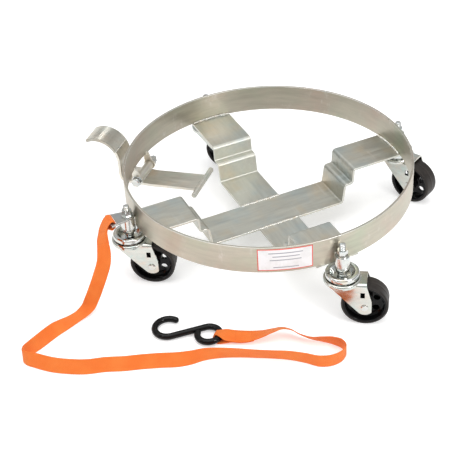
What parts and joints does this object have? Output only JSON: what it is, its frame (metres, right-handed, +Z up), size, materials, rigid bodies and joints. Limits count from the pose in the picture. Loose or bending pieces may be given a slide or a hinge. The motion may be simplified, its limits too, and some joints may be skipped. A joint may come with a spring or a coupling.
{
  "type": "drum dolly",
  "caption": "Round steel ring on a stepped cross with swivel casters, a rocking foot lever and an orange hook strap, for wheeling drums and pails.",
  "frame": {"origin": "on the ring's axis, on the floor that the four tyres stand on", "axes": "+Z up along the ring's axis; -X towards the foot lever; the casters stand at 45, 135, 225 and 315 degrees from +X"},
  "size_m": [0.7433, 0.8614, 0.196],
  "materials": {
    "ring_zinc": "zinc plate, satin, faintly straw-coloured",
    "bar_steel": "zinc plate over hot-rolled bar, cooler and duller",
    "weld_metal": "plated weld bead",
    "bright_zinc": "bright zinc plate",
    "fork_zinc": "satin zinc plate on pressed sheet",
    "ball_steel": "polished bearing steel",
    "plate_steel": "dull grey plate",
    "core_black": "gloss black, moulded",
    "tread_rubber": "dark brown-grey rubber, satin",
    "bushing_bronze": "sintered bronze, oil-filled",
    "label_film": "white film with a red border",
    "webbing": "woven orange webbing",
    "hook_coating": "gloss black dipped coating over steel rod"
  },
  "bodies": {
    "root": {"ring_band": "ring_zinc", "long_bar": "bar_steel", "half_bar_rear": "bar_steel", "half_bar_front": "bar_steel", "cross_welds": "weld_metal", "ring_welds": "weld_metal", "socket_welds": "weld_metal", "socket_1": "ring_zinc", "socket_2": "ring_zinc", "socket_3": "ring_zinc", "socket_4": "ring_zinc", "caster_stems": "bright_zinc", "stem_nuts": "bright_zinc", "stem_washers": "bright_zinc", "upper_race_1": "bright_zinc", "upper_race_2": "bright_zinc", "upper_race_3": "bright_zinc", "upper_race_4": "bright_zinc", "lower_races": "bright_zinc", "swivel_balls": "ball_steel", "strap_plate": "plate_steel", "lever_ears": "ring_zinc", "hinge_bolt": "bright_zinc", "hinge_nut": "bright_zinc", "hinge_washers": "bright_zinc", "label_plate": "label_film", "strap": "webbing", "strap_hook": "hook_coating"},
    "caster_1": {"fork_1": "fork_zinc", "axle_1": "bright_zinc", "thrust_washers_1": "bright_zinc"},
    "wheel_1": {"wheel_core_1": "core_black", "tyre_1": "tread_rubber", "bushing_1": "bushing_bronze"},
    "caster_2": {"fork_2": "fork_zinc", "axle_2": "bright_zinc", "thrust_washers_2": "bright_zinc"},
    "wheel_2": {"wheel_core_2": "core_black", "tyre_2": "tread_rubber", "bushing_2": "bushing_bronze"},
    "caster_3": {"fork_3": "fork_zinc", "axle_3": "bright_zinc", "thrust_washers_3": "bright_zinc"},
    "wheel_3": {"wheel_core_3": "core_black", "tyre_3": "tread_rubber", "bushing_3": "bushing_bronze"},
    "caster_4": {"fork_4": "fork_zinc", "axle_4": "bright_zinc", "thrust_washers_4": "bright_zinc"},
    "wheel_4": {"wheel_core_4": "core_black", "tyre_4": "tread_rubber", "bushing_4": "bushing_bronze"},
    "lever": {"lever_sleeve": "ring_zinc", "lever_strip": "bar_steel", "lever_rod": "ring_zinc", "foot_pedal": "ring_zinc", "lever_welds": "weld_metal"}
  },
  "joints": [
    {"name": "swivel_1", "type": "hinge", "parent": "root", "child": "caster_1", "pos_m": [0.22981, 0.22981, 0.103], "axis": [0, 0, 1], "continuous": true},
    {"name": "wheel_1_spin", "type": "hinge", "parent": "caster_1", "child": "wheel_1", "pos_m": [0.27356, 0.2156, 0.0475], "axis": [0.309, 0.9511, 0], "continuous": true},
    {"name": "swivel_2", "type": "hinge", "parent": "root", "child": "caster_2", "pos_m": [-0.22981, 0.22981, 0.103], "axis": [0, 0, 1], "continuous": true},
    {"name": "wheel_2_spin", "type": "hinge", "parent": "caster_2", "child": "wheel_2", "pos_m": [-0.18381, 0.22981, 0.0475], "axis": [0, 1, 0], "continuous": true},
    {"name": "swivel_3", "type": "hinge", "parent": "root", "child": "caster_3", "pos_m": [-0.22981, -0.22981, 0.103], "axis": [0, 0, 1], "continuous": true},
    {"name": "wheel_3_spin", "type": "hinge", "parent": "caster_3", "child": "wheel_3", "pos_m": [-0.18499, -0.21946, 0.0475], "axis": [-0.225, 0.9744, 0], "continuous": true},
    {"name": "swivel_4", "type": "hinge", "parent": "root", "child": "caster_4", "pos_m": [0.22981, -0.22981, 0.103], "axis": [0, 0, 1], "continuous": true},
    {"name": "wheel_4_spin", "type": "hinge", "parent": "caster_4", "child": "wheel_4", "pos_m": [0.27497, -0.22103, 0.0475], "axis": [-0.1908, 0.9816, 0], "continuous": true},
    {"name": "lever_rock", "type": "hinge", "parent": "root", "child": "lever", "pos_m": [-0.297, 0, 0.108], "axis": [0, -1, 0], "range_deg": [-20, 45]}
  ]
}
